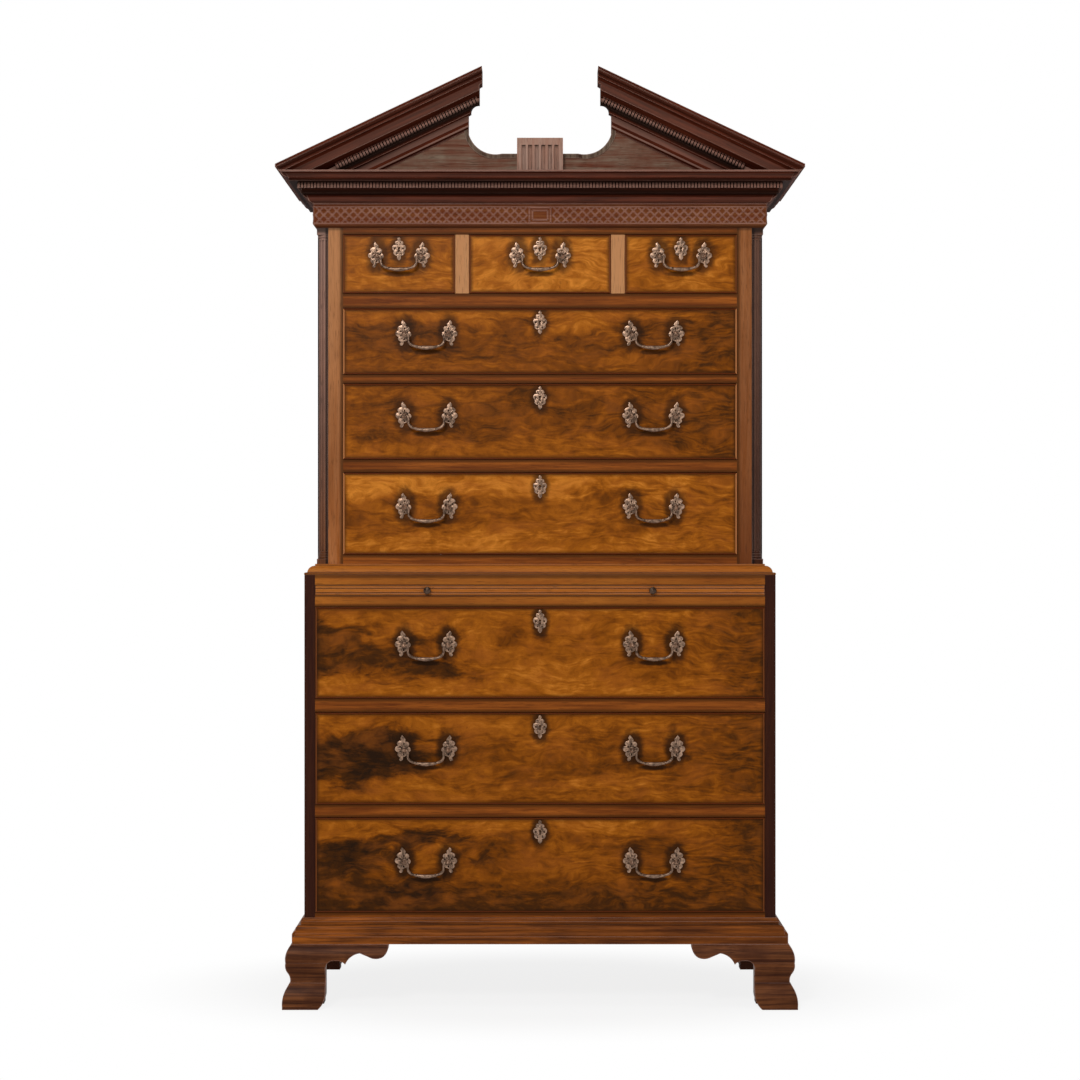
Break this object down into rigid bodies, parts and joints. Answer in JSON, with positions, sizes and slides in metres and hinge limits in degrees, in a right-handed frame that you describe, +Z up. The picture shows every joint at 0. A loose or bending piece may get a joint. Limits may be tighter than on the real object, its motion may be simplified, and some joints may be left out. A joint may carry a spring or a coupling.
{
  "type": "chest on chest",
  "caption": "Two-part mahogany chest on chest with a broken pediment, sliding drawers with swinging bail handles, a brushing slide and ogee bracket feet, for keeping clothes.",
  "frame": {"origin": "on the floor, at the middle of the whole piece's width and depth", "axes": "+Z up, +X to the viewer's right, the drawers face -Y"},
  "size_m": [1.234, 0.608, 2.2],
  "materials": {
    "carcase": "oiled and waxed mahogany, old French polish",
    "drawer_fronts": "figured mahogany veneer, French polish",
    "linings": "bare oak",
    "back": "bare pine, dusty",
    "brass": "patinated cast brass"
  },
  "bodies": {
    "chest": {"lower_sides": "carcase", "lower_rails": "carcase", "case_tops_and_bottoms": "back", "upper_sides": "carcase", "upper_face_frame": "carcase", "drawer_runners": "linings", "back_boards": "back", "base_moulding": "carcase", "waist_moulding": "carcase", "frieze": "carcase", "cornice": "carcase", "raking_cornices": "carcase", "tympanum": "carcase", "plinth_block": "carcase", "quarter_columns": "carcase", "bracket_feet": "carcase", "foot_blocks": "linings"},
    "short_drawer_left": {"short_drawer_left_box": "linings", "short_drawer_left_front": "drawer_fronts", "short_drawer_left_brasses": "brass"},
    "short_drawer_left_bail": {"short_drawer_left_bail": "brass"},
    "short_drawer_middle": {"short_drawer_middle_box": "linings", "short_drawer_middle_front": "drawer_fronts", "short_drawer_middle_brasses": "brass"},
    "short_drawer_middle_bail": {"short_drawer_middle_bail": "brass"},
    "short_drawer_right": {"short_drawer_right_box": "linings", "short_drawer_right_front": "drawer_fronts", "short_drawer_right_brasses": "brass"},
    "short_drawer_right_bail": {"short_drawer_right_bail": "brass"},
    "upper_drawer_1": {"upper_drawer_1_box": "linings", "upper_drawer_1_front": "drawer_fronts", "upper_drawer_1_brasses": "brass"},
    "upper_drawer_1_bail_left": {"upper_drawer_1_bail_left": "brass"},
    "upper_drawer_1_bail_right": {"upper_drawer_1_bail_right": "brass"},
    "upper_drawer_2": {"upper_drawer_2_box": "linings", "upper_drawer_2_front": "drawer_fronts", "upper_drawer_2_brasses": "brass"},
    "upper_drawer_2_bail_left": {"upper_drawer_2_bail_left": "brass"},
    "upper_drawer_2_bail_right": {"upper_drawer_2_bail_right": "brass"},
    "upper_drawer_3": {"upper_drawer_3_box": "linings", "upper_drawer_3_front": "drawer_fronts", "upper_drawer_3_brasses": "brass"},
    "upper_drawer_3_bail_left": {"upper_drawer_3_bail_left": "brass"},
    "upper_drawer_3_bail_right": {"upper_drawer_3_bail_right": "brass"},
    "lower_drawer_1": {"lower_drawer_1_box": "linings", "lower_drawer_1_front": "drawer_fronts", "lower_drawer_1_brasses": "brass"},
    "lower_drawer_1_bail_left": {"lower_drawer_1_bail_left": "brass"},
    "lower_drawer_1_bail_right": {"lower_drawer_1_bail_right": "brass"},
    "lower_drawer_2": {"lower_drawer_2_box": "linings", "lower_drawer_2_front": "drawer_fronts", "lower_drawer_2_brasses": "brass"},
    "lower_drawer_2_bail_left": {"lower_drawer_2_bail_left": "brass"},
    "lower_drawer_2_bail_right": {"lower_drawer_2_bail_right": "brass"},
    "lower_drawer_3": {"lower_drawer_3_box": "linings", "lower_drawer_3_front": "drawer_fronts", "lower_drawer_3_brasses": "brass"},
    "lower_drawer_3_bail_left": {"lower_drawer_3_bail_left": "brass"},
    "lower_drawer_3_bail_right": {"lower_drawer_3_bail_right": "brass"},
    "brushing_slide": {"brushing_slide": "carcase"}
  },
  "joints": [
    {"name": "short_drawer_left_slide", "type": "slide", "parent": "chest", "child": "short_drawer_left", "axis": [0, -1, 0], "range_m": [0, 0.38]},
    {"name": "short_drawer_left_bail_swing", "type": "hinge", "parent": "short_drawer_left", "child": "short_drawer_left_bail", "pos_m": [-0.333, -0.232, 1.7665], "axis": [-1, 0, 0], "range_deg": [0, 95]},
    {"name": "short_drawer_middle_slide", "type": "slide", "parent": "chest", "child": "short_drawer_middle", "axis": [0, -1, 0], "range_m": [0, 0.38]},
    {"name": "short_drawer_middle_bail_swing", "type": "hinge", "parent": "short_drawer_middle", "child": "short_drawer_middle_bail", "pos_m": [0, -0.232, 1.7665], "axis": [-1, 0, 0], "range_deg": [0, 95]},
    {"name": "short_drawer_right_slide", "type": "slide", "parent": "chest", "child": "short_drawer_right", "axis": [0, -1, 0], "range_m": [0, 0.38]},
    {"name": "short_drawer_right_bail_swing", "type": "hinge", "parent": "short_drawer_right", "child": "short_drawer_right_bail", "pos_m": [0.333, -0.232, 1.7665], "axis": [-1, 0, 0], "range_deg": [0, 95]},
    {"name": "upper_drawer_1_slide", "type": "slide", "parent": "chest", "child": "upper_drawer_1", "axis": [0, -1, 0], "range_m": [0, 0.38]},
    {"name": "upper_drawer_1_bail_left_swing", "type": "hinge", "parent": "upper_drawer_1", "child": "upper_drawer_1_bail_left", "pos_m": [-0.268, -0.232, 1.582], "axis": [-1, 0, 0], "range_deg": [0, 95]},
    {"name": "upper_drawer_1_bail_right_swing", "type": "hinge", "parent": "upper_drawer_1", "child": "upper_drawer_1_bail_right", "pos_m": [0.268, -0.232, 1.582], "axis": [-1, 0, 0], "range_deg": [0, 95]},
    {"name": "upper_drawer_2_slide", "type": "slide", "parent": "chest", "child": "upper_drawer_2", "axis": [0, -1, 0], "range_m": [0, 0.38]},
    {"name": "upper_drawer_2_bail_left_swing", "type": "hinge", "parent": "upper_drawer_2", "child": "upper_drawer_2_bail_left", "pos_m": [-0.268, -0.232, 1.3885], "axis": [-1, 0, 0], "range_deg": [0, 95]},
    {"name": "upper_drawer_2_bail_right_swing", "type": "hinge", "parent": "upper_drawer_2", "child": "upper_drawer_2_bail_right", "pos_m": [0.268, -0.232, 1.3885], "axis": [-1, 0, 0], "range_deg": [0, 95]},
    {"name": "upper_drawer_3_slide", "type": "slide", "parent": "chest", "child": "upper_drawer_3", "axis": [0, -1, 0], "range_m": [0, 0.38]},
    {"name": "upper_drawer_3_bail_left_swing", "type": "hinge", "parent": "upper_drawer_3", "child": "upper_drawer_3_bail_left", "pos_m": [-0.268, -0.232, 1.1735], "axis": [-1, 0, 0], "range_deg": [0, 95]},
    {"name": "upper_drawer_3_bail_right_swing", "type": "hinge", "parent": "upper_drawer_3", "child": "upper_drawer_3_bail_right", "pos_m": [0.268, -0.232, 1.1735], "axis": [-1, 0, 0], "range_deg": [0, 95]},
    {"name": "lower_drawer_1_slide", "type": "slide", "parent": "chest", "child": "lower_drawer_1", "axis": [0, -1, 0], "range_m": [0, 0.4]},
    {"name": "lower_drawer_1_bail_left_swing", "type": "hinge", "parent": "lower_drawer_1", "child": "lower_drawer_1_bail_left", "pos_m": [-0.268, -0.259, 0.8495], "axis": [-1, 0, 0], "range_deg": [0, 95]},
    {"name": "lower_drawer_1_bail_right_swing", "type": "hinge", "parent": "lower_drawer_1", "child": "lower_drawer_1_bail_right", "pos_m": [0.268, -0.259, 0.8495], "axis": [-1, 0, 0], "range_deg": [0, 95]},
    {"name": "lower_drawer_2_slide", "type": "slide", "parent": "chest", "child": "lower_drawer_2", "axis": [0, -1, 0], "range_m": [0, 0.4]},
    {"name": "lower_drawer_2_bail_left_swing", "type": "hinge", "parent": "lower_drawer_2", "child": "lower_drawer_2_bail_left", "pos_m": [-0.268, -0.259, 0.6035], "axis": [-1, 0, 0], "range_deg": [0, 95]},
    {"name": "lower_drawer_2_bail_right_swing", "type": "hinge", "parent": "lower_drawer_2", "child": "lower_drawer_2_bail_right", "pos_m": [0.268, -0.259, 0.6035], "axis": [-1, 0, 0], "range_deg": [0, 95]},
    {"name": "lower_drawer_3_slide", "type": "slide", "parent": "chest", "child": "lower_drawer_3", "axis": [0, -1, 0], "range_m": [0, 0.4]},
    {"name": "lower_drawer_3_bail_left_swing", "type": "hinge", "parent": "lower_drawer_3", "child": "lower_drawer_3_bail_left", "pos_m": [-0.268, -0.259, 0.3405], "axis": [-1, 0, 0], "range_deg": [0, 95]},
    {"name": "lower_drawer_3_bail_right_swing", "type": "hinge", "parent": "lower_drawer_3", "child": "lower_drawer_3_bail_right", "pos_m": [0.268, -0.259, 0.3405], "axis": [-1, 0, 0], "range_deg": [0, 95]},
    {"name": "brushing_slide_slide", "type": "slide", "parent": "chest", "child": "brushing_slide", "axis": [0, -1, 0], "range_m": [0, 0.3]}
  ]
}
